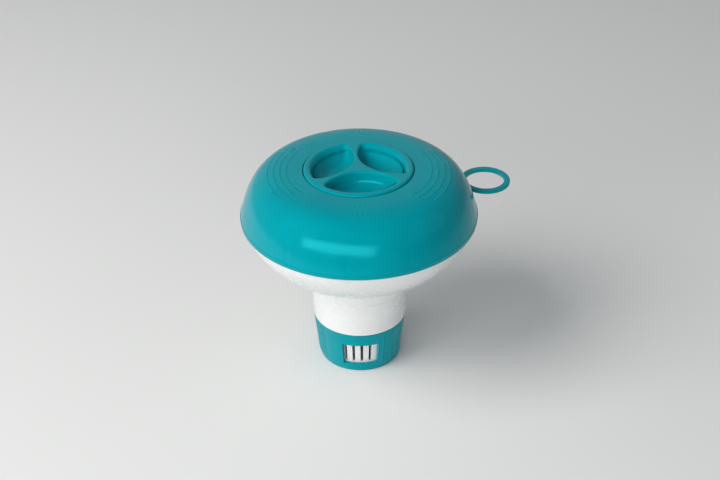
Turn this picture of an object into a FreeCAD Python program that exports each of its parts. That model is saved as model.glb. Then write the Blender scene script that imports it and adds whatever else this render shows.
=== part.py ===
import FreeCAD, Part
import os
import re
import Sketcher

# Floating chlorine dispenser. Z is up, the origin is the centre of the base that it stands on,
# and the tether ring points along +X. Lengths are in millimetres, angles in degrees, and heights
# are measured from the base. Angles are about Z, from +X.

os.makedirs("parts", exist_ok=True)

DIMENSIONS = {
    # float: two shells that meet at the seam
    "float_radius": 63.5,
    "seam_height": 89.5,
    "dome_height": 117.0,
    "crown_radius": 47.2,
    "lip_height": 2.2,
    "lip_step": 0.25,
    "wall": 2.0,
    "rim_wall": 2.6,
    "tongue_rise": 3.0,
    "joint_gap": 0.1,
    "bowl_rim_radius": 62.2,
    "bowl_side_radius": 60.4,
    "bowl_side_height": 77.2,
    "bowl_floor_radius": 43.5,
    "bowl_floor_height": 60.4,
    "collar_radius": 27.6,
    "collar_top": 56.6,
    "collar_bottom": 47.5,
    "spigot_top": 62.0,
    "gusset_count": 12,
    "gusset_width": 1.2,
    # mouth of the chamber, where the cap screws in
    "mouth_radius": 29.5,
    "seat_height": 113.0,
    "socket_radius": 27.0,
    "socket_bottom": 98.5,
    "socket_lip": 4.0,
    "thread_lead": 30.0,
    "thread_starts": 3,
    "thread_bottom": 103.6,
    "thread_radius": 25.6,
    "thread_depth": 2.0,
    "thread_span": 80.0,
    "thread_angle": 20.0,
    "lug_radius": 26.7,
    "lug_span": 35.0,
    # tablet chamber: the tube, the neck and the slotted end
    "tube_radius": 25.0,
    "tube_bore": 23.4,
    "neck_radius": 27.0,
    "neck_foot_radius": 25.6,
    "chamber_wall": 1.6,
    "chamber_floor": 1.8,
    "slot_width": 1.5,
    "slot_pitch": 12.0,
    "slot_count": 4,
    "slot_start": -22.0,
    "slot_bottom": 5.5,
    "slot_top": 18.0,
    # flow control cup
    "cup_height": 26.0,
    "cup_radius": 25.4,
    "cup_base_radius": 22.8,
    "cup_wall": 1.85,
    "cup_floor": 1.8,
    "running_gap": 0.3,
    "window_angle": 5.7,
    "window_count": 3,
    "window_span": 48.0,
    "window_bottom": 4.8,
    "window_top": 18.8,
    "grip_count": 6,
    "grip_start": 31.0,
    "grip_pitch": 6.6,
    "grip_width": 1.0,
    "grip_rise": 0.4,
    "grip_bottom": 3.0,
    "grip_top": 24.5,
    "bead_height": 22.5,
    "bead_radius": 0.7,
    "peg_radius": 1.5,
    "peg_offset": 12.0,
    "peg_angle": 180.0,
    "cup_turn_back": 4.0,
    "cup_turn_on": 56.0,
    # screw cap and its gasket
    "cap_radius": 29.1,
    "cap_height": 118.0,
    "cap_flange": 3.65,
    "cap_round": 1.2,
    "plug_radius": 25.3,
    "plug_bottom": 101.0,
    "recess_angle": 11.2,
    "recess_count": 3,
    "recess_radius": 25.8,
    "recess_arc_radius": 21.9,
    "recess_arc_offset": 26.5,
    "recess_depth": 8.5,
    "recess_outer_slope": 33.0,
    "recess_inner_slope": 10.0,
    "gasket_bore": 25.6,
    "gasket_radius": 29.0,
    "gasket_gap": 0.05,
    # tether ring
    "ring_radius": 13.8,
    "eye_radius": 10.5,
    "ring_thickness": 2.0,
    "ring_offset": 77.2,
    "ring_round": 0.5,
    "tang_half_width": 3.8,
    "tang_flare": 0.8,
}

TURN = 360
POLE = "pole"
UP = FreeCAD.Vector(0, 0, 1)

doc = FreeCAD.newDocument("FloatingDispenser")
sheet = doc.addObject("Spreadsheet::Sheet", "Dimensions")
for row, (alias, number) in enumerate(DIMENSIONS.items(), start=1):
    sheet.set(f"A{row}", alias)
    sheet.set(f"B{row}", str(number))
    sheet.setAlias(f"B{row}", alias)
doc.recompute()


def bound(expression):
    """The expression with every dimension's name pointing at its cell."""
    def cell(word):
        name = word.group(0)
        return f"Dimensions.{name}" if name in DIMENSIONS else name

    return re.sub(r"[a-z_]+", cell, expression)


def value(expression):
    return float(sheet.evalExpression(bound(expression)))


def bind(item, **expressions):
    """Ties properties of an object to the sheet."""
    for name, expression in expressions.items():
        item.setExpression(name, bound(expression))


def new_body(name):
    body = doc.addObject("PartDesign::Body", name)
    body.Label = name
    return body


def new_sketch(body, name, plane, height=None, angle=None):
    """A sketch on one of the body's origin planes, raised to a height or turned about Z."""
    sketch = body.newObject("Sketcher::SketchObject", name)
    support = next(part for part in body.Origin.OriginFeatures if part.Role == plane)
    sketch.AttachmentSupport = [(support, "")]
    sketch.MapMode = "FlatFace"
    base = FreeCAD.Vector(0, 0, value(height) if height else 0)
    vertical = UP if plane == "XY_Plane" else FreeCAD.Vector(0, 1, 0)
    turn = FreeCAD.Rotation(vertical, value(angle) if angle else 0)
    sketch.AttachmentOffset = FreeCAD.Placement(base, turn)
    if height:
        sketch.setExpression("AttachmentOffset.Base.z", bound(height))
    if angle:
        sketch.setExpression("AttachmentOffset.Rotation.Angle", bound(angle))
    return sketch


def pin(sketch, geometry, point, place):
    """Ties a point of the sketch to the sheet by its two coordinates."""
    for kind, expression in zip(("DistanceX", "DistanceY"), place):
        distance = Sketcher.Constraint(kind, -1, 1, geometry, point, value(expression))
        index = sketch.addConstraint(distance)
        sketch.setExpression(f"Constraints[{index}]", bound(expression))


def stretch(spots):
    """A line through two spots, or the Bezier curve that more of them shape."""
    if len(spots) == 2:
        return Part.LineSegment(*spots)
    curve = Part.BSplineCurve()
    order = len(spots)
    curve.buildFromPolesMultsKnots(spots, [order, order], [0, 1], False, order - 1)
    return curve


def draw(sketch, outline):
    """Draws a closed outline. An entry is a corner, or a pole of the curve between two corners."""
    spots = [FreeCAD.Vector(value(entry[0]), value(entry[1])) for entry in outline]
    corners = [index for index, entry in enumerate(outline) if POLE not in entry]
    spans = [list(range(a, b + 1)) for a, b in zip(corners, corners[1:])]
    spans.append(list(range(corners[-1], len(outline))) + [corners[0]])
    edges = [sketch.addGeometry(stretch([spots[i] for i in span])) for span in spans]
    for edge, following in zip(edges, edges[1:] + edges[:1]):
        sketch.addConstraint(Sketcher.Constraint("Coincident", edge, 2, following, 1))
    control = "InternalAlignment:Sketcher::BSplineControlPoint"
    for edge, span in zip(edges, spans):
        pin(sketch, edge, 1, outline[span[0]])
        for pole, index in enumerate(span[1:-1], start=1):
            handle = sketch.addGeometry(Part.Circle(spots[index], UP, 1.0), True)
            sketch.addConstraint(Sketcher.Constraint(control, handle, 3, edge, pole))
            pin(sketch, handle, 3, outline[index][:2])


def draw_circle(sketch, centre, radius):
    spot = FreeCAD.Vector(value(centre[0]), value(centre[1]))
    circle = sketch.addGeometry(Part.Circle(spot, UP, value(radius)))
    pin(sketch, circle, 3, centre)
    index = sketch.addConstraint(Sketcher.Constraint("Radius", circle, value(radius)))
    sketch.setExpression(f"Constraints[{index}]", bound(radius))


def box_outline(left, bottom, right, top):
    return [(left, bottom), (right, bottom), (right, top), (left, top)]


def revolve(body, name, sketch, kind="Revolution", angle=str(TURN)):
    feature = body.newObject(f"PartDesign::{kind}", name)
    feature.Profile = sketch
    feature.ReferenceAxis = (sketch, ["V_Axis"])
    bind(feature, Angle=angle)
    return feature


def extrude(body, name, sketch, length, kind="Pad", **settings):
    feature = body.newObject(f"PartDesign::{kind}", name)
    feature.Profile = sketch
    for setting, state in settings.items():
        setattr(feature, setting, state)
    bind(feature, Length=length)
    return feature


def coil(body, name, sketch, span):
    """Sweeps a sketch up the thread's lead over a span of degrees."""
    feature = body.newObject("PartDesign::AdditiveHelix", name)
    feature.Profile = sketch
    feature.ReferenceAxis = (sketch, ["V_Axis"])
    feature.Mode = "pitch-turns-angle"
    bind(feature, Pitch="thread_lead", Turns=f"{span} / {TURN}")
    return feature


def repeat(body, name, features, count, angle=str(TURN)):
    """Repeats features about Z, over a whole turn or a smaller angle."""
    pattern = body.newObject("PartDesign::PolarPattern", name)
    axis = next(part for part in body.Origin.OriginFeatures if part.Role == "Z_Axis")
    pattern.Axis = (axis, [""])
    bind(pattern, Occurrences=count, Angle=angle)
    if features:
        pattern.Originals = features
        body.Tip = pattern
    return pattern


def repeat_groups(body, name, feature, count, pitch, groups):
    """Repeats a feature a few times side by side, and that group about the whole turn."""
    everywhere = body.newObject("PartDesign::MultiTransform", name)
    everywhere.Originals = [feature]
    row = repeat(body, f"{name}Row", [], count, f"({count} - 1) * {pitch}")
    ring = repeat(body, f"{name}Ring", [], groups)
    everywhere.Transformations = [row, ring]
    body.Tip = everywhere
    return everywhere


def round_edges(body, name, base, radius, size, heights):
    """Rounds the circular edges of a feature that have a radius and lie at the heights."""
    doc.recompute()
    names = []
    for index, edge in enumerate(base.Shape.Edges, start=1):
        curve = edge.Curve
        if not isinstance(curve, Part.Circle) or abs(curve.Radius - value(radius)) > 1e-6:
            continue
        if any(abs(curve.Center.z - value(height)) < 1e-6 for height in heights):
            names.append(f"Edge{index}")
    fillet = body.newObject("PartDesign::Fillet", name)
    fillet.Base = (base, names)
    bind(fillet, Radius=size)
    return fillet


def cup_side(height):
    """Radius of the flow control cup's outside at a height: a slight cone."""
    return f"cup_base_radius + (cup_radius - cup_base_radius) * ({height}) / cup_height"


def chamber_side(height):
    """Radius of the chamber's outside inside the cup, a running gap away from it."""
    return f"{cup_side(height)} - cup_wall - running_gap"


def make_upper_float_shell():
    """The domed upper half of the float, with the threaded socket for the cap."""
    body = new_body("upper_float_shell")
    outline = new_sketch(body, "DomeOutline", "XZ_Plane")
    rim = "float_radius - rim_wall"
    tongue_top = "seam_height + tongue_rise"
    draw(outline, [
        ("float_radius", "seam_height"),
        ("float_radius", "seam_height + lip_height"),
        ("float_radius - lip_step", "seam_height + lip_height"),
        ("0.9 * float_radius", "dome_height", POLE),
        ("crown_radius", "dome_height", POLE),
        ("mouth_radius", "dome_height"),
        ("mouth_radius", "seat_height"),
        ("socket_radius", "seat_height"),
        ("socket_radius", "socket_bottom"),
        ("tube_radius + joint_gap", "socket_bottom"),
        ("tube_radius + joint_gap", "socket_bottom - socket_lip"),
        ("socket_radius + wall", "socket_bottom - socket_lip"),
        ("socket_radius + wall", "seat_height - wall"),
        ("mouth_radius + wall", "seat_height - wall"),
        ("mouth_radius + wall", "dome_height - wall"),
        ("crown_radius", "dome_height - wall", POLE),
        ("0.9 * float_radius - wall", "dome_height - wall", POLE),
        (rim, tongue_top),
        (rim, "seam_height"),
    ])
    revolve(body, "Dome", outline)

    # gussets stand inside the dome, just above the joint with the lower shell
    gusset = new_sketch(body, "GussetOutline", "XZ_Plane")
    draw(gusset, [
        ("float_radius - wall", "seam_height + 1.3 * tongue_rise"),
        ("float_radius - 3.5 * wall", "seam_height + 1.3 * tongue_rise"),
        ("float_radius - 4.8 * wall", "dome_height - 6 * wall"),
        ("float_radius - 3.25 * wall", "dome_height - 6 * wall"),
    ])
    web = extrude(body, "Gusset", gusset, "gusset_width", Midplane=True)
    repeat(body, "Gussets", [web], "gusset_count")

    # three helical ribs line the socket, and the cap's lugs run under them
    rib_outline = new_sketch(body, "ThreadOutline", "XZ_Plane", angle="thread_angle")
    draw(rib_outline, box_outline("thread_radius", "thread_bottom",
                                  "socket_radius + wall / 2", "thread_bottom + thread_depth"))
    rib = coil(body, "ThreadRib", rib_outline, "thread_span")
    repeat(body, "ThreadRibs", [rib], "thread_starts")

    # dovetail notch in the rim for the tether ring's tang
    notch = new_sketch(body, "NotchOutline", "XY_Plane", height="seam_height")
    draw(notch, tang_outline("joint_gap", "float_radius - 1.5 * rim_wall", "float_radius + wall"))
    extrude(body, "Notch", notch, "ring_thickness + joint_gap", "Pocket", Reversed=True)
    return body


def tang_outline(growth, inner, outer):
    """Plan of the tether ring's tang: it widens inwards through the rim, so it can't pull out."""
    outer_half = f"tang_half_width + {growth}"
    inner_half = f"{outer_half} + (float_radius - ({inner})) * tang_flare / rim_wall"
    return [
        (inner, f"-({inner_half})"),
        ("float_radius", f"-({outer_half})"),
        (outer, f"-({outer_half})"),
        (outer, outer_half),
        ("float_radius", outer_half),
        (inner, inner_half),
    ]


def make_lower_float_shell():
    """The bowl under the seam, with the collar that holds the tablet chamber."""
    body = new_body("lower_float_shell")
    outline = new_sketch(body, "BowlOutline", "XZ_Plane")
    tongue = "float_radius - rim_wall - joint_gap"
    bore = "tube_radius + joint_gap"
    draw(outline, [
        ("bowl_rim_radius", "seam_height"),
        ("bowl_side_radius", "bowl_side_height", POLE),
        ("bowl_floor_radius", "bowl_floor_height", POLE),
        ("collar_radius", "collar_top"),
        ("collar_radius", "collar_bottom"),
        (bore, "collar_bottom"),
        (bore, "spigot_top"),
        (f"{bore} + wall", "spigot_top"),
        (f"{bore} + wall", "collar_top + 1.1 * wall"),
        ("bowl_floor_radius - 0.5 * wall", "bowl_floor_height + 1.1 * wall", POLE),
        ("bowl_side_radius - 1.4 * wall", "bowl_side_height + 0.2 * wall", POLE),
        (f"{tongue} - wall", "seam_height - tongue_rise"),
        (f"{tongue} - wall", "seam_height + tongue_rise - joint_gap"),
        (tongue, "seam_height + tongue_rise - joint_gap"),
        (tongue, "seam_height"),
    ])
    revolve(body, "Bowl", outline)
    return body


def make_tablet_chamber():
    """The tube that holds the tablets, with the neck and the slotted end in one moulding."""
    body = new_body("tablet_chamber")
    outline = new_sketch(body, "ChamberOutline", "XZ_Plane")
    floor = "cup_floor + running_gap"
    neck_foot = "cup_height + running_gap"
    draw(outline, [
        ("0", floor),
        (chamber_side(floor), floor),
        (chamber_side(neck_foot), neck_foot),
        ("neck_foot_radius", neck_foot),
        ("neck_radius", "collar_bottom"),
        ("tube_radius", "collar_bottom"),
        ("tube_radius", "socket_bottom"),
        ("tube_bore", "socket_bottom"),
        ("tube_bore - 0.4", "collar_bottom - 3 * wall"),
        (f"{chamber_side(neck_foot)} - chamber_wall", neck_foot),
        (f"{chamber_side(floor)} - chamber_wall", f"{floor} + chamber_floor"),
        ("0", f"{floor} + chamber_floor"),
    ])
    revolve(body, "Chamber", outline)

    # snap bead, which keeps the cup on
    bead = new_sketch(body, "BeadOutline", "XZ_Plane")
    draw_circle(bead, (f"{chamber_side('bead_height')} - 0.1", "bead_height"), "bead_radius")
    revolve(body, "Bead", bead)

    first_slot = f"window_angle + {TURN} / window_count + slot_start"
    slot = new_sketch(body, "SlotOutline", "XY_Plane", height="slot_bottom", angle=first_slot)
    draw(slot, box_outline("cup_base_radius / 2", "-slot_width / 2", "cup_radius + wall", "slot_width / 2"))
    opening = extrude(body, "Slot", slot, "slot_top - slot_bottom", "Pocket", Reversed=True)
    repeat_groups(body, "Slots", opening, "slot_count", "slot_pitch", "window_count")

    # curved track in the floor, whose ends stop the cup's peg
    peg_room = "(peg_radius + running_gap)"
    overrun = f"atan({peg_room} / peg_offset) / 1 deg"
    track_start = f"peg_angle - cup_turn_back - {overrun}"
    track = new_sketch(body, "TrackOutline", "XZ_Plane", angle=track_start)
    draw(track, box_outline(f"peg_offset - {peg_room}", f"{floor} - wall",
                            f"peg_offset + {peg_room}", f"{floor} + chamber_floor + wall"))
    revolve(body, "Track", track, "Groove", f"cup_turn_back + cup_turn_on + 2 * {overrun}")
    return body


def make_flow_control_cup():
    """The windowed cup that turns on the chamber's end and opens or closes its slots."""
    body = new_body("flow_control_cup")
    outline = new_sketch(body, "CupOutline", "XZ_Plane")
    draw(outline, [
        ("0", "0"),
        (cup_side("0"), "0"),
        (cup_side("cup_height"), "cup_height"),
        (f"{cup_side('cup_height')} - cup_wall", "cup_height"),
        (f"{cup_side('cup_floor')} - cup_wall", "cup_floor"),
        ("0", "cup_floor"),
    ])
    shell = revolve(body, "Cup", outline)
    round_edges(body, "BaseRound", shell, "cup_base_radius", "cup_floor / 2", ["0"])

    groove = new_sketch(body, "SnapGrooveOutline", "XZ_Plane")
    centre = (f"{chamber_side('bead_height')} - 0.1", "bead_height")
    draw_circle(groove, centre, "bead_radius + running_gap")
    revolve(body, "SnapGroove", groove, "Groove")

    # a window is the sector between two planes through the axis
    window = new_sketch(body, "WindowOutline", "XY_Plane", height="window_bottom", angle="window_angle")
    reach = "2 * cup_radius * "
    draw(window, [
        ("0", "0"),
        (f"{reach} cos(window_span / 2)", f"-{reach} sin(window_span / 2)"),
        (f"{reach} cos(window_span / 2)", f"{reach} sin(window_span / 2)"),
    ])
    opening = extrude(body, "Window", window, "window_top - window_bottom", "Pocket", Reversed=True)
    repeat(body, "Windows", [opening], "window_count")

    # grip ribs beside each window
    grip = new_sketch(body, "GripOutline", "XZ_Plane", angle="window_angle + grip_start")
    draw(grip, [
        (f"{cup_side('grip_bottom')} - cup_wall / 2", "grip_bottom"),
        (f"{cup_side('grip_bottom')} + grip_rise", "grip_bottom"),
        (f"{cup_side('grip_top')} + grip_rise", "grip_top"),
        (f"{cup_side('grip_top')} - cup_wall / 2", "grip_top"),
    ])
    ridge = extrude(body, "Grip", grip, "grip_width", Midplane=True)
    repeat_groups(body, "Grips", ridge, "grip_count", "grip_pitch", "window_count")

    peg = new_sketch(body, "PegOutline", "XY_Plane", height="cup_floor / 2", angle="peg_angle")
    draw_circle(peg, ("peg_offset", "0"), "peg_radius")
    extrude(body, "Peg", peg, "cup_floor / 2 + running_gap + 0.7 * chamber_floor")
    return body


def make_cap_blank():
    """The screw cap before its recesses: flange, hollow plug and lugs."""
    body = new_body("cap_blank")
    outline = new_sketch(body, "CapOutline", "XZ_Plane")
    flange_bottom = "cap_height - cap_flange"
    draw(outline, [
        ("0", "cap_height - wall"),
        ("plug_radius - wall", "cap_height - wall"),
        ("plug_radius - wall", "plug_bottom"),
        ("plug_radius", "plug_bottom"),
        ("plug_radius", flange_bottom),
        ("cap_radius", flange_bottom),
        ("cap_radius", "cap_height"),
        ("0", "cap_height"),
    ])
    blank = revolve(body, "CapTurned", outline)
    round_edges(body, "CapRound", blank, "cap_radius", "cap_round", ["cap_height"])

    # lugs at rest: at the foot of the socket's ribs, a running gap under them
    lug_top = "thread_bottom - running_gap"
    lug = new_sketch(body, "LugOutline", "XZ_Plane", angle="thread_angle")
    draw(lug, box_outline("plug_radius - wall / 2", f"{lug_top} - thread_depth", "lug_radius", lug_top))
    lobe = coil(body, "Lug", lug, "lug_span")
    repeat(body, "Lugs", [lobe], "thread_starts")
    return body


def make_cone(name, centre, slope, radius, bottom, top):
    """A cone that has the radius at the cap's top face and narrows downwards by the slope."""
    cone = doc.addObject("Part::Cone", name)
    bind(
        cone,
        Radius1=f"{radius} - (cap_height - ({bottom})) * tan({slope})",
        Radius2=f"{radius} + ({top} - cap_height) * tan({slope})",
        Height=f"{top} - ({bottom})",
    )
    cone.setExpression("Placement.Base.x", bound(centre[0]))
    cone.setExpression("Placement.Base.y", bound(centre[1]))
    cone.setExpression("Placement.Base.z", bound(bottom))
    return cone


def make_lenses(name, growth, bottom, top):
    """The three lens-shaped finger recesses, or the shells around them when grown."""
    lenses = []
    for turn in range(DIMENSIONS["recess_count"]):
        angle = f"(recess_angle + {turn} * {TURN} / recess_count)"
        centre = (f"recess_arc_offset * cos{angle}", f"recess_arc_offset * sin{angle}")
        outer = make_cone(f"{name}Outer{turn}", ("0", "0"), "recess_outer_slope",
                          f"recess_radius + {growth}", bottom, top)
        inner = make_cone(f"{name}Inner{turn}", centre, "recess_inner_slope",
                          f"recess_arc_radius + {growth}", bottom, top)
        lens = doc.addObject("Part::Common", f"{name}{turn}")
        lens.Base = outer
        lens.Tool = inner
        lenses.append(lens)
    together = doc.addObject("Part::MultiFuse", name)
    together.Shapes = lenses
    return together


def make_screw_cap():
    """The cap: three finger recesses sunk in the blank, each with a wall around it."""
    blank = make_cap_blank()
    shells = make_lenses("RecessShells", "0.9 * wall", "cap_height - recess_depth - wall", "cap_height")
    hollows = make_lenses("Recesses", "0", "cap_height - recess_depth", "cap_height + wall")
    walled = doc.addObject("Part::Fuse", "WalledCap")
    walled.Base = blank
    walled.Tool = shells
    cap = doc.addObject("Part::Cut", "screw_cap")
    cap.Base = walled
    cap.Tool = hollows
    return cap


def make_cap_gasket():
    """The flat ring under the cap's flange."""
    body = new_body("cap_gasket")
    outline = new_sketch(body, "GasketOutline", "XZ_Plane")
    draw(outline, box_outline("gasket_bore", "seat_height + gasket_gap",
                              "gasket_radius", "cap_height - cap_flange - gasket_gap"))
    revolve(body, "Gasket", outline)
    return body


def make_tether_ring():
    """The flat ring for a cord, with a tang that locks into the upper shell's rim."""
    body = new_body("tether_ring")
    tang = new_sketch(body, "TangOutline", "XY_Plane", height="seam_height")
    draw(tang, tang_outline("0", "float_radius - rim_wall + 4 * joint_gap", "ring_offset - eye_radius - 0.8"))
    extrude(body, "Tang", tang, "ring_thickness")
    disc = new_sketch(body, "DiscOutline", "XY_Plane", height="seam_height")
    draw_circle(disc, ("ring_offset", "0"), "ring_radius")
    extrude(body, "Disc", disc, "ring_thickness")
    eye = new_sketch(body, "EyeOutline", "XY_Plane", height="seam_height")
    draw_circle(eye, ("ring_offset", "0"), "eye_radius")
    hole = extrude(body, "Eye", eye, "ring_thickness", "Pocket", Reversed=True)
    faces = ["seam_height", "seam_height + ring_thickness"]
    round_edges(body, "RingRound", hole, "ring_radius", "ring_round", faces)
    return body


NODES = [
    make_upper_float_shell(),
    make_lower_float_shell(),
    make_tablet_chamber(),
    make_flow_control_cup(),
    make_screw_cap(),
    make_cap_gasket(),
    make_tether_ring(),
]
doc.recompute()

for item in doc.Objects:
    if "Invalid" in item.State or "Error" in item.State:
        raise RuntimeError(f"{item.Name} did not build: {item.State}")
for node in NODES:
    if node.Shape.isNull() or not node.Shape.isValid() or len(node.Shape.Solids) != 1:
        raise RuntimeError(f"{node.Label} is not one valid solid")
for node in NODES:
    node.Shape.exportStep(f"parts/{node.Label}.step")
    print(f"{node.Label}: {node.Shape.Volume / 1000:.2f} cm3")
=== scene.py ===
import math

import bmesh
import bpy
import numpy as np
from mathutils import Matrix, Vector
from mathutils.geometry import delaunay_2d_cdt


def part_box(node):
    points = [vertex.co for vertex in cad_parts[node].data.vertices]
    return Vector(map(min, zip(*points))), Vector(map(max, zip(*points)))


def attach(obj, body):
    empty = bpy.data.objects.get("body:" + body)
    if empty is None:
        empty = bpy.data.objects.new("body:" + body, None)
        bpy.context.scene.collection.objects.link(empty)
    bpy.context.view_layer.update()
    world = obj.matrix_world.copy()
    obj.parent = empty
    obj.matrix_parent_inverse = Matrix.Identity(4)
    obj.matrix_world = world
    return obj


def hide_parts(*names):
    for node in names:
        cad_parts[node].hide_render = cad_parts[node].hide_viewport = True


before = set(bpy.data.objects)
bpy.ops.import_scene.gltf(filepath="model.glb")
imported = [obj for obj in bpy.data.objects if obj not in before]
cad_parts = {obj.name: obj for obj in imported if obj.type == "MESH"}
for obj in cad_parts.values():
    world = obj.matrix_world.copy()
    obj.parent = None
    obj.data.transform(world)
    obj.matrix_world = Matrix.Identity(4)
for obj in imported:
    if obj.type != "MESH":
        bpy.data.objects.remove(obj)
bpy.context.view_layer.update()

# Meshes are worked out in millimetres, like the CAD, and written in metres.
MM = 0.001
TURN = 2 * math.pi


def node_box(node):
    low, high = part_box(node)
    return low / MM, high / MM


shell_low, shell_high = node_box("upper_float_shell")
bowl_low, bowl_high = node_box("lower_float_shell")
chamber_high = node_box("tablet_chamber")[1]
cup_high = node_box("flow_control_cup")[1]
cap_low, cap_high = node_box("screw_cap")
gasket_low, gasket_high = node_box("cap_gasket")
ring_low, ring_high = node_box("tether_ring")

FLOAT_R = shell_high.y
SEAM = shell_low.z
DOME_TOP = shell_high.z
WALL = 2.0
RIM_WALL = 2.6
JOINT_GAP = 0.1
RUNNING_GAP = 0.3
LIP = 2.2
LIP_STEP = 0.25
SOCKET_LIP = 4.0
GUSSETS = 12
SINK_DEPTH = 0.15
SINK_SPREAD = 1.1

# The bowl's and the dome's curves are Bezier curves; these are the radii and heights of their
# middle poles.
DOME_SHOULDER = 0.9 * FLOAT_R
DOME_CROWN_R = 47.2
BOWL_SIDE_POLE = (60.4, 77.2)
BOWL_BASE_POLE = (43.5, 60.4)
BOWL_WALL_OFFSET = 2.8

BOWL_R = bowl_high.y
COLLAR_BOTTOM = bowl_low.z
COLLAR_R = 27.6
COLLAR_TOP = 56.6
BORE_TOP = 62.0
TONGUE_TOP = bowl_high.z
TONGUE_RISE = TONGUE_TOP - SEAM

NECK_R = chamber_high.y
TUBE_TOP = chamber_high.z
TUBE_R = NECK_R - 2.0
TUBE_BORE = 23.4
CHAMBER_WALL = 1.6
CHAMBER_FLOOR = 1.8
NECK_FOOT_R = 25.6

CUP_TOP = cup_high.z
CUP_R = 25.4
CUP_BASE_R = 22.8
CUP_WALL = 1.85
CUP_FLOOR = 1.8
WINDOWS = 3
WINDOW_ANGLE = math.radians(5.7)
WINDOW_HALF = math.radians(24)
WINDOW_BOTTOM = 4.8
WINDOW_TOP = 18.8
SLOT_ANGLES = [math.radians(angle) for angle in (-22, -10, 2, 14)]
SLOT_HALF = math.radians(2)
SLOT_BOTTOM = 5.5
SLOT_TOP = 18.0
GRIP_ANGLES = [math.radians(31 + 6.6 * index) for index in range(6)]
GRIP_RISE = 0.36
GRIP_BOTTOM = 2.6
GRIP_TOP = 24.6
GRIP_FADE = 0.6
BEAD_HEIGHT = 22.5
BEAD_HALF = 0.7
BEAD_RISE = 0.6
PEG_R = 1.5
PEG_OFFSET = 12.0
PEG_ANGLE = math.pi
PEG_TOP = 3.35
CUP_OPEN = math.radians(4)
CUP_SHUT = math.radians(56)

CAP_TOP = cap_high.z
PLUG_BOTTOM = cap_low.z
CAP_R = 29.1
PLUG_R = 25.3
FLANGE = 3.65
MOUTH_R = 29.5
SEAT = gasket_low.z - 0.05
SOCKET_R = 27.0
LEAD = 30.0
THREAD_BOTTOM = 103.6
THREAD_DEPTH = 2.0
THREAD_ANGLE = math.radians(20)
SOCKET_RIB_R = 25.6
SOCKET_RIB_SPAN = math.radians(80)
LUG_R = 26.7
LUG_SPAN = math.radians(35)
STARTS = 3
RECESSES = 3
RECESS_ANGLE = math.radians(11.2)
RECESS_OFFSET = 26.5
RECESS_OUTER = (25.8, math.tan(math.radians(33)))
RECESS_INNER = (21.9, math.tan(math.radians(10)))
RECESS_DEPTH = 8.5
RECESS_WALL = 1.8
GASKET_INNER_R = 25.6
GASKET_OUTER_R = 29.0

RING_R = ring_high.y
EYE_R = 10.5
RING_X = ring_high.x - RING_R
RING_Z = ring_low.z
RING_TOP = ring_high.z
TANG_HALF = 3.8
TANG_FLARE = 0.68

CREASE = math.radians(35)
VIEW_TURN = math.radians(-24.3)


# ---------------------------------------------------------------- mesh tools

def bezier(start, first, second, end, count=28):
    t = np.linspace(0, 1, count)[:, None]
    poles = [np.array(pole, float) for pole in (start, first, second, end)]
    weights = ((1 - t) ** 3, 3 * t * (1 - t) ** 2, 3 * t * t * (1 - t), t ** 3)
    return sum(weight * pole for weight, pole in zip(weights, poles))


def outline(*entries, steps=5):
    """Points (radius, height) of an outline. An entry is a corner, a corner with its rounding,
    or an array of points."""
    spots = []
    for entry in entries:
        if isinstance(entry, np.ndarray):
            spots += [(np.array(point), 0.0) for point in entry]
        else:
            spots.append((np.array(entry[:2], float), entry[2] if len(entry) > 2 else 0.0))
    points = []
    for index, (spot, rounding) in enumerate(spots):
        if rounding == 0:
            points.append(spot)
            continue
        before = spots[index - 1][0] - spot
        after = spots[(index + 1) % len(spots)][0] - spot
        reach = min(rounding, 0.45 * np.linalg.norm(before), 0.45 * np.linalg.norm(after))
        a = spot + before / np.linalg.norm(before) * reach
        b = spot + after / np.linalg.norm(after) * reach
        for t in np.linspace(0, 1, steps):
            points.append((1 - t) ** 2 * a + 2 * t * (1 - t) * spot + t * t * b)
    return np.array(points)


def columns(count, edges=()):
    """Angles round a whole turn, with a column exactly on each edge."""
    even = [TURN * index / count for index in range(count)]
    edges = [edge % TURN for edge in edges]
    clear = 0.45 * TURN / count
    kept = [a for a in even if all(abs((a - e + math.pi) % TURN - math.pi) > clear for e in edges)]
    return np.array(sorted(kept + edges))


def row_at(points, radius, height):
    return int(np.argmin(np.hypot(points[:, 0] - radius, points[:, 1] - height)))


def turned(points, angles, shape=None, holes=(), closed=True):
    """An outline turned about Z. A hole is two pairs of rows, one on each face of the wall,
    and the angles between which the wall is cut through."""
    r, z, a = np.broadcast_arrays(points[:, 0][:, None], points[:, 1][:, None], angles[None, :])
    if shape:
        r, z = shape(r, z, a)
    vertices = np.stack([r * np.cos(a), r * np.sin(a), z], -1).reshape(-1, 3)
    rows, count = len(points), len(angles)
    solid = np.ones((rows, count), bool)
    faces = []

    def at(row, column):
        return (row % rows) * count + column % count

    for (low, high), (far_low, far_high), start, end in holes:
        first = int(np.argmin(abs(angles - start % TURN)))
        last = int(np.argmin(abs(angles - end % TURN)))
        span = (last - first) % count
        for step in range(span):
            column = (first + step) % count
            solid[min(low, high), column] = False
            solid[min(far_low, far_high), column] = False
            for near, far in ((low, far_low), (high, far_high)):
                faces.append((at(near, column), at(near, column + 1), at(far, column + 1), at(far, column)))
        for column in (first, last):
            faces.append((at(low, column), at(high, column), at(far_high, column), at(far_low, column)))
    for row in range(rows if closed else rows - 1):
        for column in range(count):
            if solid[row, column]:
                after = column + 1
                faces.append((at(row, column), at(row + 1, column), at(row + 1, after), at(row, after)))
    return vertices, faces


def stacked(around, levels):
    """Faces between equal loops of points, one above another, with no end faces."""
    faces = []
    for level in range(levels - 1):
        for k in range(around):
            a, b = level * around + k, level * around + (k + 1) % around
            faces.append((a, b, b + around, a + around))
    return faces


def end_faces(around, levels):
    last = (levels - 1) * around
    return [tuple(range(around)), tuple(last + k for k in reversed(range(around)))]


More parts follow.
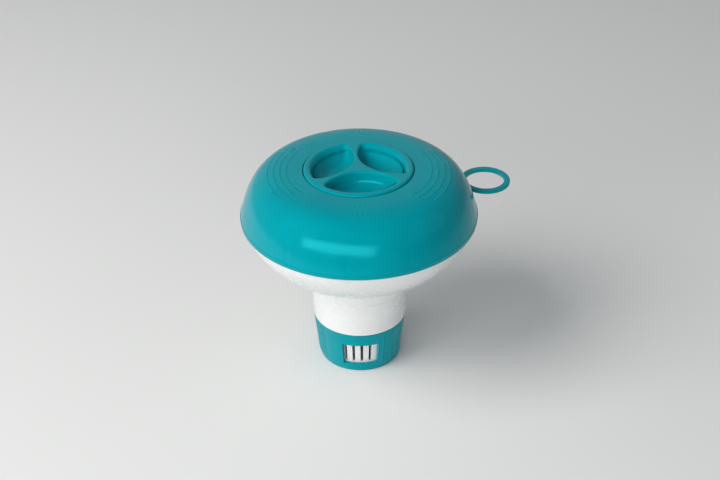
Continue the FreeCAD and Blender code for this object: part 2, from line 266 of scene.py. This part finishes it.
def swept_rib(inner, outer, bottom, height, start, span, steps=40):
    """A helical rib that climbs at the thread's lead, with rounded long edges and low ends."""
    blunt = 0.35
    end_share = 0.35
    section = outline((inner, 0), (outer, 0, blunt), (outer, height, blunt), (inner, height), steps=4)
    vertices = []
    for t in np.linspace(0, 1, steps + 1):
        ease = min(1.0, end_share + min(t, 1 - t) * span * outer / height)
        angle = start + t * span
        lift = bottom + LEAD * t * span / TURN
        for r, z in section:
            radius = inner + (r - inner) * ease
            vertices.append((radius * math.cos(angle), radius * math.sin(angle), lift + z))
    around = len(section)
    return np.array(vertices), stacked(around, steps + 1) + end_faces(around, steps + 1)


def piece(name, body, slot, node, material, *parts):
    """Joins closed parts, given in millimetres, into one smooth-shaded object."""
    mesh = bpy.data.meshes.new(name)
    vertices, faces, count = [], [], 0
    for part_vertices, part_faces in parts:
        vertices.append(np.asarray(part_vertices, float) * MM)
        faces += [tuple(index + count for index in face) for face in part_faces]
        count += len(part_vertices)
    mesh.from_pydata(np.concatenate(vertices), [], faces)
    work = bmesh.new()
    work.from_mesh(mesh)
    bmesh.ops.remove_doubles(work, verts=work.verts, dist=0.002 * MM)
    bmesh.ops.dissolve_degenerate(work, dist=0.0005 * MM, edges=work.edges)
    bmesh.ops.recalc_face_normals(work, faces=work.faces)
    work.to_mesh(mesh)
    work.free()
    mesh.shade_smooth()
    mesh.set_sharp_from_angle(angle=CREASE)
    made = bpy.data.objects.new(name, mesh)
    bpy.context.scene.collection.objects.link(made)
    mesh.materials.append(material)
    evened = made.modifiers.new("even_shading", "WEIGHTED_NORMAL")
    evened.keep_sharp = True
    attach(made, body)
    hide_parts(node)


# ---------------------------------------------------------------- materials

def moulded_plastic(name, colour, deep, roughness, relief, sheen):
    """Injection-moulded plastic: faint flow tones, a fine skin, small scuffs and dust specks.
    A noise's scale is how many features there are to a metre."""
    material = bpy.data.materials.new(name)
    material.use_nodes = True
    tree = material.node_tree
    nodes, links = tree.nodes, tree.links
    shader = nodes["Principled BSDF"]
    place = nodes.new("ShaderNodeTexCoord")

    def noise(scale, detail, stretch=(1, 1, 1), distortion=0.0):
        mapping = nodes.new("ShaderNodeMapping")
        mapping.inputs["Scale"].default_value = stretch
        links.new(place.outputs["Object"], mapping.inputs["Vector"])
        texture = nodes.new("ShaderNodeTexNoise")
        texture.inputs["Scale"].default_value = scale
        texture.inputs["Detail"].default_value = detail
        texture.inputs["Distortion"].default_value = distortion
        links.new(mapping.outputs["Vector"], texture.inputs["Vector"])
        return texture.outputs["Fac"]

    def ramp(source, low, high, start, end):
        remap = nodes.new("ShaderNodeMapRange")
        sockets = ("From Min", "From Max", "To Min", "To Max")
        for socket, number in zip(sockets, (low, high, start, end)):
            remap.inputs[socket].default_value = number
        links.new(source, remap.inputs["Value"])
        return remap.outputs["Result"]

    def mix(factor, first, second):
        blend = nodes.new("ShaderNodeMix")
        blend.data_type = "RGBA"
        links.new(factor, blend.inputs["Factor"])
        for socket, side in (("A", first), ("B", second)):
            target = next(s for s in blend.inputs if s.name == socket and s.type == "RGBA")
            if isinstance(side, tuple):
                target.default_value = (*side, 1)
            else:
                links.new(side, target)
        return next(s for s in blend.outputs if s.type == "RGBA")

    def bump(source, distance, under=None):
        relief_node = nodes.new("ShaderNodeBump")
        relief_node.inputs["Strength"].default_value = relief
        relief_node.inputs["Distance"].default_value = distance * MM
        links.new(source, relief_node.inputs["Height"])
        if under:
            links.new(under, relief_node.inputs["Normal"])
        return relief_node.outputs["Normal"]

    flow = ramp(noise(28, detail=3, stretch=(1, 1, 2.5), distortion=0.6), 0.35, 0.65, 0, 1)
    tone = mix(flow, colour, deep)
    scuffs = ramp(noise(340, detail=4, stretch=(1, 1, 9), distortion=0.3), 0.69, 0.76, 0, 0.16)
    paler = tuple(0.8 * channel + 0.09 for channel in colour)
    worn = mix(scuffs, tone, paler)
    specks = ramp(noise(900, detail=1), 0.77, 0.8, 0, 0.1)
    dust = (0.42, 0.42, 0.38)
    links.new(mix(specks, worn, dust), shader.inputs["Base Color"])
    gloss = ramp(noise(130, detail=5), 0.3, 0.7, roughness - 0.04, roughness + 0.06)
    rubbed = nodes.new("ShaderNodeMath")
    rubbed.operation = "ADD"
    links.new(gloss, rubbed.inputs[0])
    links.new(scuffs, rubbed.inputs[1])
    links.new(rubbed.outputs["Value"], shader.inputs["Roughness"])
    skin = bump(noise(620, detail=3), 0.06)
    waviness = bump(noise(55, detail=2), 0.12, under=skin)
    links.new(waviness, shader.inputs["Normal"])
    shader.inputs["IOR"].default_value = 1.49
    shader.inputs["Specular Tint"].default_value = (*sheen, 1)
    return material


teal = moulded_plastic(
    "teal_plastic", colour=(0.0, 0.268, 0.315), deep=(0.0, 0.245, 0.295),
    roughness=0.14, relief=0.12, sheen=(0.05, 0.95, 1.0))
white = moulded_plastic(
    "white_plastic", colour=(0.74, 0.75, 0.745), deep=(0.715, 0.73, 0.725),
    roughness=0.26, relief=0.04, sheen=(1.0, 1.0, 1.0))
rubber = moulded_plastic(
    "seal_rubber", colour=(0.028, 0.028, 0.03), deep=(0.04, 0.04, 0.042),
    roughness=0.55, relief=0.3, sheen=(1.0, 1.0, 1.0))


# ---------------------------------------------------------------- float

DOME_POLES = (
    (FLOAT_R - LIP_STEP, SEAM + LIP + 0.02),
    (DOME_SHOULDER, DOME_TOP),
    (DOME_CROWN_R, DOME_TOP),
    (MOUTH_R + 0.6, DOME_TOP),
)


def dome_outline():
    outside = bezier(*DOME_POLES, count=72)
    ceiling = DOME_TOP - WALL
    inside = bezier(
        (MOUTH_R + WALL, ceiling), (DOME_CROWN_R, ceiling), (DOME_SHOULDER - WALL, ceiling),
        (FLOAT_R - RIM_WALL, SEAM + 3), count=24)
    return outline(
        (FLOAT_R, SEAM, 0.3),
        (FLOAT_R, SEAM + LIP, 0.12),
        outside,
        (MOUTH_R, DOME_TOP, 0.6),
        (MOUTH_R, SEAT, 0.2),
        (SOCKET_R, SEAT, 0.4),
        (SOCKET_R, TUBE_TOP),
        (TUBE_R + JOINT_GAP, TUBE_TOP),
        (TUBE_R + JOINT_GAP, TUBE_TOP - SOCKET_LIP),
        (SOCKET_R + WALL, TUBE_TOP - SOCKET_LIP),
        (SOCKET_R + WALL, SEAT - WALL),
        (MOUTH_R + WALL, SEAT - WALL),
        inside,
        (FLOAT_R - RIM_WALL, SEAM),
    )


def sunk_over_gussets(r, z, a):
    """Faint sink marks low on the dome, over the twelve gussets inside it."""
    gusset_step = TURN / GUSSETS
    across = ((a + gusset_step / 2) % gusset_step - gusset_step / 2) * r
    fade_in, fade_out, top = 1.5, 9, SEAM + 15
    low = np.clip((z - SEAM - LIP) / fade_in, 0, 1) * np.clip((top - z) / fade_out, 0, 1)
    outer = r > FLOAT_R - 9
    return r - outer * SINK_DEPTH * low * np.exp(-((across / SINK_SPREAD) ** 2)), z


def raised_dash(radius, angle, length, width=1.5, height=0.3):
    """A small rounded dash that stands on the dome, along a circle about the axis."""
    curve = bezier(*DOME_POLES, count=200)
    index = int(np.argmin(abs(curve[:, 0] - radius)))
    along = curve[index + 1] - curve[index - 1]
    along /= np.linalg.norm(along)
    out = np.array([math.cos(angle), math.sin(angle), 0.0])
    side = np.array([-math.sin(angle), math.cos(angle), 0.0])
    down = along[0] * out + np.array([0, 0, along[1]])
    normal = np.cross(down, side)
    normal *= math.copysign(1, normal[2])
    foot = curve[index][0] * out + np.array([0, 0, curve[index][1]])
    around = 14
    squareness = 0.7
    straight = (length - width) / 2
    # Each level is its share of the height, and of the width at the foot.
    levels = ((-0.2, 1.0), (0.0, 1.0), (0.55, 0.86), (0.9, 0.6), (1.0, 0.25))
    vertices = []
    for lift, share in levels:
        for k in range(around):
            turn = TURN * k / around
            x = math.copysign(abs(math.cos(turn)) ** squareness, math.cos(turn)) * share * width / 2
            end = math.copysign(straight, math.sin(turn)) * (0.6 + 0.4 * share)
            y = math.sin(turn) * share * width / 2 + end
            vertices.append(foot + x * down + y * side + lift * height * normal)
    return vertices, stacked(around, len(levels)) + end_faces(around, len(levels))


def dash_places(radius, middle, half, spacing):
    """Angles of evenly spaced dashes, within half degrees of the middle."""
    pitch = spacing / radius
    count = int(2 * math.radians(half) / pitch)
    return [middle + (k - (count - 1) / 2) * pitch for k in range(count)]


def dash_rows():
    """Four rows of dashes on each side of the cap, and short rows before and behind it."""
    front = VIEW_TURN - math.pi / 2
    back = front + math.pi
    right = front + math.radians(82)
    left = front - math.radians(88)
    dashes = []
    for row in range(4):
        radius = 38.2 + 3.4 * row
        for middle in (right, left):
            for k, angle in enumerate(dash_places(radius, middle, half=40 - 3 * row, spacing=2.5)):
                dashes.append(raised_dash(radius, angle, length=1.85 if (k + row) % 3 else 1.55))
    for radius, middle, half in ((38.4, front, 11), (44.6, front, 8), (39.0, back, 13), (43.4, back, 9)):
        for angle in dash_places(radius, middle, half, spacing=2.6):
            dashes.append(raised_dash(radius, angle, length=1.6, height=0.2))
    return dashes


def thread_starts():
    return [THREAD_ANGLE + k * TURN / STARTS for k in range(STARTS)]


def socket_ribs():
    root = SOCKET_R + 0.5
    return [
        swept_rib(root, SOCKET_RIB_R, THREAD_BOTTOM, THREAD_DEPTH, start, SOCKET_RIB_SPAN)
        for start in thread_starts()
    ]


def make_upper_shell():
    body = turned(dome_outline(), columns(480), shape=sunk_over_gussets)
    parts = [body, *socket_ribs(), *dash_rows()]
    piece("float_dome", "float", "teal_plastic", "upper_float_shell", teal, *parts)


def make_lower_shell():
    bore = TUBE_R + JOINT_GAP
    tongue = FLOAT_R - RIM_WALL - JOINT_GAP
    outside = bezier((BOWL_R, SEAM), BOWL_SIDE_POLE, BOWL_BASE_POLE, (29.4, 57.0), count=56)
    inside = bezier(
        (bore + WALL, 58.8), (42.5, 62.6), (BOWL_SIDE_POLE[0] - BOWL_WALL_OFFSET, 77.6),
        (tongue - WALL, SEAM - TONGUE_RISE), count=24)
    points = outline(
        outside,
        (COLLAR_R, COLLAR_TOP, 1.4),
        (COLLAR_R, COLLAR_BOTTOM, 0.35),
        (bore, COLLAR_BOTTOM),
        (bore, BORE_TOP),
        (bore + WALL, BORE_TOP),
        inside,
        (tongue - WALL, TONGUE_TOP),
        (tongue, TONGUE_TOP),
        (tongue, SEAM),
    )
    body = turned(points, columns(360))
    piece("float_bowl", "float", "white_plastic", "lower_float_shell", white, body)


# ---------------------------------------------------------------- chamber and cup

def cup_side(height):
    return CUP_BASE_R + (CUP_R - CUP_BASE_R) * height / CUP_TOP


def chamber_side(height):
    return cup_side(height) - CUP_WALL - RUNNING_GAP


def window_angles():
    return [WINDOW_ANGLE + k * TURN / WINDOWS for k in range(WINDOWS)]


def make_chamber():
    wall = CHAMBER_WALL
    floor = CUP_FLOOR + RUNNING_GAP
    floor_top = floor + CHAMBER_FLOOR
    foot = CUP_TOP + RUNNING_GAP
    half_track = PEG_R + RUNNING_GAP
    track_low, track_high = PEG_OFFSET - half_track, PEG_OFFSET + half_track
    bead = chamber_side(BEAD_HEIGHT)
    points = outline(
        (0, floor), (track_low, floor), (track_high, floor),
        (chamber_side(floor), floor, 0.5),
        (chamber_side(SLOT_BOTTOM), SLOT_BOTTOM),
        (chamber_side(SLOT_TOP), SLOT_TOP),
        (bead, BEAD_HEIGHT - BEAD_HALF),
        (bead + BEAD_RISE, BEAD_HEIGHT, 0.4),
        (bead, BEAD_HEIGHT + BEAD_HALF),
        (chamber_side(foot), foot, 0.1),
        (NECK_FOOT_R, foot, 0.45),
        (NECK_R - 0.05, COLLAR_BOTTOM - 1.0, 0.3),
        (NECK_R - 0.5, COLLAR_BOTTOM - 0.5),
        (NECK_R - 0.1, COLLAR_BOTTOM, 0.1),
        (TUBE_R, COLLAR_BOTTOM),
        (TUBE_R, TUBE_TOP, 0.4),
        (TUBE_BORE, TUBE_TOP, 0.4),
        (TUBE_BORE - 0.4, COLLAR_BOTTOM - 3 * WALL),
        (chamber_side(foot) - wall, foot),
        (chamber_side(SLOT_TOP) - wall, SLOT_TOP),
        (chamber_side(SLOT_BOTTOM) - wall, SLOT_BOTTOM),
        (chamber_side(floor) - wall, floor_top, 0.6),
        (track_high, floor_top), (track_low, floor_top), (0, floor_top),
    )
    slot_rows = [row_at(points, chamber_side(z), z) for z in (SLOT_BOTTOM, SLOT_TOP)]
    back_rows = [row_at(points, chamber_side(z) - wall, z) for z in (SLOT_BOTTOM, SLOT_TOP)]
    floor_rows = [row_at(points, radius, floor) for radius in (track_low, track_high)]
    top_rows = [row_at(points, radius, floor_top) for radius in (track_low, track_high)]
    holes = []
    for window in window_angles():
        for slot in SLOT_ANGLES:
            middle = window + slot
            holes.append((slot_rows, back_rows, middle - SLOT_HALF, middle + SLOT_HALF))
    overrun = half_track / PEG_OFFSET
    track_start, track_end = PEG_ANGLE - CUP_OPEN - overrun, PEG_ANGLE + CUP_SHUT + overrun
    holes.append((floor_rows, top_rows, track_start, track_end))
    edges = [edge for hole in holes for edge in hole[2:]]
    body = turned(points, columns(360, edges), holes=holes)
    piece("chamber_tube", "float", "white_plastic", "tablet_chamber", white, body)


def gripped(r, z, a):
    """Grip ribs beside each window, faded out at their ends."""
    rise = np.zeros_like(r)
    half_width, flank = 0.75, 0.3
    for window in window_angles():
        for grip in GRIP_ANGLES:
            across = abs((a - window - grip + math.pi) % TURN - math.pi) * r
            rise = np.maximum(rise, GRIP_RISE * np.clip((half_width - across) / flank, 0, 1))
    ends = np.clip((z - GRIP_BOTTOM) / GRIP_FADE, 0, 1) * np.clip((GRIP_TOP - z) / GRIP_FADE, 0, 1)
    outside = r > cup_side(np.maximum(z, 0)) - 0.2
    return r + rise * ends * outside, z


def make_cup():
    def inside(z):
        return cup_side(z) - CUP_WALL

    groove = chamber_side(BEAD_HEIGHT) + 0.9
    groove_half = 1.0
    foot_r = 20.4
    heights = (
        GRIP_BOTTOM, GRIP_BOTTOM + GRIP_FADE, WINDOW_BOTTOM, WINDOW_TOP, GRIP_TOP - GRIP_FADE, GRIP_TOP)
    groove_top, groove_bottom = BEAD_HEIGHT + groove_half, BEAD_HEIGHT - groove_half
    points = outline(
        (0, 0), (foot_r, 0),
        (cup_side(0), 0, 1.1),
        *[(cup_side(z), z) for z in heights],
        (cup_side(CUP_TOP), CUP_TOP, 0.3),
        (inside(CUP_TOP), CUP_TOP, 0.3),
        (inside(groove_top), groove_top),
        (groove, BEAD_HEIGHT, 0.5),
        (inside(groove_bottom), groove_bottom),
        (inside(WINDOW_TOP), WINDOW_TOP), (inside(WINDOW_BOTTOM), WINDOW_BOTTOM),
        (inside(CUP_FLOOR), CUP_FLOOR, 0.5),
        (0, CUP_FLOOR),
    )
    outer_rows = [row_at(points, cup_side(z), z) for z in (WINDOW_BOTTOM, WINDOW_TOP)]
    inner_rows = [row_at(points, inside(z), z) for z in (WINDOW_BOTTOM, WINDOW_TOP)]
    holes = [(outer_rows, inner_rows, a - WINDOW_HALF, a + WINDOW_HALF) for a in window_angles()]
    edges = [edge for hole in holes for edge in hole[2:]]
    body = turned(points, columns(960, edges), shape=gripped, holes=holes)
    peg_outline = outline((0, 1.0), (PEG_R, 1.0), (PEG_R, PEG_TOP, 0.4), (0, PEG_TOP))
    vertices, faces = turned(peg_outline, columns(24))
    place = np.array([PEG_OFFSET * math.cos(PEG_ANGLE), PEG_OFFSET * math.sin(PEG_ANGLE), 0])
    peg = (vertices + place, faces)
    piece("flow_cup_shell", "flow_cup", "teal_plastic", "flow_control_cup", teal, body, peg)


# ---------------------------------------------------------------- cap

def lens_loop(outer, inner, tip, count=26):
    """The lens between a circle about the cap's axis and one about the recess's own centre,
    with rounded tips, as points in the recess's own plane."""
    tip_steps = 10
    x = (RECESS_OFFSET ** 2 + (outer - tip) ** 2 - (inner - tip) ** 2) / (2 * RECESS_OFFSET)
    y = math.sqrt((outer - tip) ** 2 - x * x)
    alpha = math.atan2(y, x)
    beta = math.atan2(y, x - RECESS_OFFSET)
    points = []
    for angle in np.linspace(-alpha, alpha, count):
        points.append((outer * math.cos(angle), outer * math.sin(angle)))
    for angle in np.linspace(alpha, beta, tip_steps)[1:-1]:
        points.append((x + tip * math.cos(angle), y + tip * math.sin(angle)))
    for angle in np.linspace(beta, TURN - beta, count):
        points.append((RECESS_OFFSET + inner * math.cos(angle), inner * math.sin(angle)))
    for angle in np.linspace(TURN - beta, TURN - alpha, tip_steps)[1:-1]:
        points.append((x + tip * math.cos(angle), -y + tip * math.sin(angle)))
    return np.array(points)


def recess_levels(growth, start, depth, edge, floor_round):
    """Lens loops from the start down to the recess floor: rounded edge, walls, rounded floor."""
    (outer, outer_slope), (inner, inner_slope) = RECESS_OUTER, RECESS_INNER
    tip_r, tip_growth, floor_share = 2.2, 0.2, 0.7
    levels = []

    def add(down, spread, tip):
        wide = outer + growth - outer_slope * down + spread
        narrow = inner + growth - inner_slope * down + spread
        levels.append((lens_loop(wide, narrow, tip), CAP_TOP - down))

    if edge:
        for phi in np.linspace(0, math.pi / 2, 6)[:-1]:
            spread = edge * (1 - math.sin(phi))
            add(edge * (1 - math.cos(phi)), spread, tip_r + spread)
    straight = depth - floor_round
    for down in np.linspace(max(edge, start), straight, 5):
        add(down, 0.0, tip_r + tip_growth * down)
    for phi in np.linspace(0, math.pi / 2, 9)[1:]:
        spread = -floor_share * floor_round * (1 - math.cos(phi))
        add(straight + floor_round * math.sin(phi), spread, tip_r + tip_growth * straight)
    return levels


def lofted(levels, angle):
    """Joins lens loops down to a closed floor, turned to the recess's direction."""
    c, s = math.cos(angle), math.sin(angle)
    around = len(levels[0][0])
    vertices = []
    for loop, height in levels:
        vertices += [(x * c - y * s, x * s + y * c, height) for x, y in loop]
    last, height = levels[-1]
    middle = last.mean(0)
    for share in (0.6, 0.25):
        for x, y in middle + (last - middle) * share:
            vertices.append((x * c - y * s, x * s + y * c, height))
    loops = len(vertices) // around
    return vertices, stacked(around, loops) + end_faces(around, loops)[1:]


def pierced_disc(loops, height):
    """A flat face inside the first loop and outside the others."""
    spots = [Vector(point) for loop in loops for point in loop]
    edges, start = [], 0
    for loop in loops:
        edges += [(start + k, start + (k + 1) % len(loop)) for k in range(len(loop))]
        start += len(loop)
    flat, _, triangles, *_ = delaunay_2d_cdt(spots, edges, [], 1, 1e-6)
    kept = []
    for triangle in triangles:
        x, y = sum((flat[k] for k in triangle), Vector((0, 0))) / 3
        if inside_loop(x, y, loops[0]) and not any(inside_loop(x, y, loop) for loop in loops[1:]):
            kept.append(tuple(triangle))
    return [(point.x, point.y, height) for point in flat], kept


def inside_loop(x, y, loop):
    following = np.roll(loop, -1, axis=0)
    crossing = (loop[:, 1] > y) != (following[:, 1] > y)
    rise = np.where(crossing, following[:, 1] - loop[:, 1], 1.0)
    meets = loop[:, 0] + (y - loop[:, 1]) * (following[:, 0] - loop[:, 0]) / rise
    return int(np.count_nonzero(crossing & (x < meets))) % 2 == 1


def make_cap():
    flange_bottom = CAP_TOP - FLANGE
    round_off = 1.2
    ceiling = CAP_TOP - WALL
    angles = columns(300)
    rounded = np.array([
        (CAP_R - round_off * (1 - math.sin(phi)), CAP_TOP - round_off * (1 - math.cos(phi)))
        for phi in np.linspace(0, math.pi / 2, 9)
    ])
    points = outline(
        rounded,
        (CAP_R, flange_bottom, 0.3),
        (PLUG_R, flange_bottom, 0.2),
        (PLUG_R, PLUG_BOTTOM, 0.5),
        (PLUG_R - WALL, PLUG_BOTTOM, 0.4),
        (PLUG_R - WALL, ceiling),
    )
    vertices, faces = turned(points, angles, closed=False)
    lug_root = PLUG_R - 0.5
    lug_bottom = THREAD_BOTTOM - RUNNING_GAP - THREAD_DEPTH
    lugs = [
        swept_rib(lug_root, LUG_R, lug_bottom, THREAD_DEPTH, start, LUG_SPAN, steps=20)
        for start in thread_starts()
    ]
    parts = [(vertices, faces)] + lugs
    mouths = [vertices[:len(angles), :2]]
    pockets = [vertices[-len(angles):, :2]]
    bowl = recess_levels(growth=0.0, start=0.0, depth=RECESS_DEPTH, edge=1.0, floor_round=5.0)
    shell = recess_levels(
        growth=RECESS_WALL, start=WALL, depth=RECESS_DEPTH + WALL, edge=0.0, floor_round=3.5)
    for k in range(RECESSES):
        angle = RECESS_ANGLE + k * TURN / RECESSES
        for rims, levels in ((mouths, bowl), (pockets, shell)):
            recess = lofted(levels, angle)
            parts.append(recess)
            rims.append(np.array(recess[0][:len(levels[0][0])])[:, :2])
    parts.append(pierced_disc(mouths, CAP_TOP))
    parts.append(pierced_disc(pockets, ceiling))
    piece("cap_shell", "cap", "teal_plastic", "screw_cap", teal, *parts)


def make_gasket():
    low, high = gasket_low.z, gasket_high.z
    inner, outer, blunt = GASKET_INNER_R, GASKET_OUTER_R, 0.3
    points = outline((inner, low, blunt), (outer, low, blunt), (outer, high, blunt), (inner, high, blunt))
    body = turned(points, columns(240))
    piece("cap_seal_ring", "cap_seal", "seal_rubber", "cap_gasket", rubber, body)


def make_tether_ring():
    outer_blunt, inner_blunt = 0.7, 0.45
    band = outline(
        (EYE_R, RING_Z, inner_blunt), (RING_R, RING_Z, outer_blunt),
        (RING_R, RING_TOP, outer_blunt), (EYE_R, RING_TOP, inner_blunt), steps=7)
    vertices, faces = turned(band, columns(180))
    ring = (vertices + np.array([RING_X, 0, 0]), faces)
    half, wide = TANG_HALF, TANG_HALF + TANG_FLARE
    inner, outer = ring_low.x, RING_X - EYE_R - outer_blunt
    plan = [(inner, -wide), (FLOAT_R, -half), (outer, -half), (outer, half), (FLOAT_R, half), (inner, wide)]
    inset, sunk = 0.25, 0.02
    rims = ((RING_Z + sunk, inset), (RING_Z + inset, 0), (RING_TOP - inset, 0), (RING_TOP - sunk, inset))
    corners = [(x, y - math.copysign(shrink, y), z) for z, shrink in rims for x, y in plan]
    around, levels = len(plan), len(rims)
    tang = (corners, stacked(around, levels) + end_faces(around, levels))
    piece("cord_ring", "float", "teal_plastic", "tether_ring", teal, ring, tang)


make_upper_shell()
make_lower_shell()
make_chamber()
make_cup()
make_cap()
make_gasket()
make_tether_ring()


# ---------------------------------------------------------------- stage, light and camera

def make_stage():
    """A pale floor, in metres, that curves up into a backdrop far behind."""
    size, back, bend, top = 3.0, 1.4, 0.5, 2.4
    profile = [(-size, 0.0), (back, 0.0)]
    for t in np.linspace(0, math.pi / 2, 24)[1:]:
        profile.append((back + bend * math.sin(t), bend * (1 - math.cos(t))))
    profile.append((back + bend, top))
    turn = Matrix.Rotation(VIEW_TURN, 3, "Z")
    vertices = [turn @ Vector((x, y, z)) for x in (-size, size) for y, z in profile]
    count = len(profile)
    faces = [(k, k + 1, count + k + 1, count + k) for k in range(count - 1)]
    mesh = bpy.data.meshes.new("floor")
    mesh.from_pydata(vertices, [], faces)
    mesh.shade_smooth()
    floor = bpy.data.objects.new("floor", mesh)
    bpy.context.scene.collection.objects.link(floor)
    paper = bpy.data.materials.new("paper")
    paper.use_nodes = True
    shader = paper.node_tree.nodes["Principled BSDF"]
    shader.inputs["Base Color"].default_value = (0.72, 0.72, 0.71, 1)
    shader.inputs["Roughness"].default_value = 0.8
    mesh.materials.append(paper)


def area_light(name, azimuth, elevation, distance, size, power, tint=(1, 1, 1), mirrored=True):
    """A soft light aimed at the float. Azimuth 0 is behind the camera and 90 is to its right."""
    data = bpy.data.lights.new(name, "AREA")
    data.shape = "RECTANGLE"
    data.size, data.size_y = size
    data.energy = power
    data.color = tint
    light = bpy.data.objects.new(name, data)
    a, e = math.radians(azimuth) + VIEW_TURN, math.radians(elevation)
    away = Vector((math.sin(a) * math.cos(e), -math.cos(a) * math.cos(e), math.sin(e)))
    light.location = Vector((0, 0, 0.08)) + away * distance
    light.rotation_mode = "QUATERNION"
    light.rotation_quaternion = (-away).to_track_quat("-Z", "Y")
    light.visible_glossy = mirrored
    bpy.context.scene.collection.objects.link(light)


def make_lights():
    area_light("key", -66, 44, 1.5, (0.9, 0.9), 19, (1.0, 0.985, 0.96), mirrored=False)
    area_light("front_card", -20, 20, 1.3, (1.7, 0.36), 10.0)
    area_light("fill", 75, 30, 1.6, (1.2, 1.0), 0.9, (0.93, 0.97, 1.0))
    world = bpy.data.worlds.new("studio")
    world.use_nodes = True
    sky = world.node_tree.nodes["Background"]
    sky.inputs["Color"].default_value = (0.86, 0.93, 1.0, 1)
    sky.inputs["Strength"].default_value = 0.27
    bpy.context.scene.world = world


def make_camera():
    """Looks down at the dispenser, with the cord ring on the right."""
    pitch_down, roll_angle = math.radians(32.98), math.radians(-0.63)
    place = (0.0004, -0.5928, 0.457)
    data = bpy.data.cameras.new("camera")
    data.sensor_width = 36.0
    data.lens = 65.0
    camera = bpy.data.objects.new("camera", data)
    turn = Matrix.Rotation(VIEW_TURN, 4, "Z")
    tilt = Matrix.Rotation(math.pi / 2 - pitch_down, 4, "X")
    roll = Matrix.Rotation(roll_angle, 4, "Z")
    camera.matrix_world = turn @ Matrix.Translation(place) @ tilt @ roll
    bpy.context.scene.collection.objects.link(camera)
    bpy.context.scene.camera = camera


make_stage()
make_lights()
make_camera()
bpy.context.scene.view_settings.view_transform = "Standard"
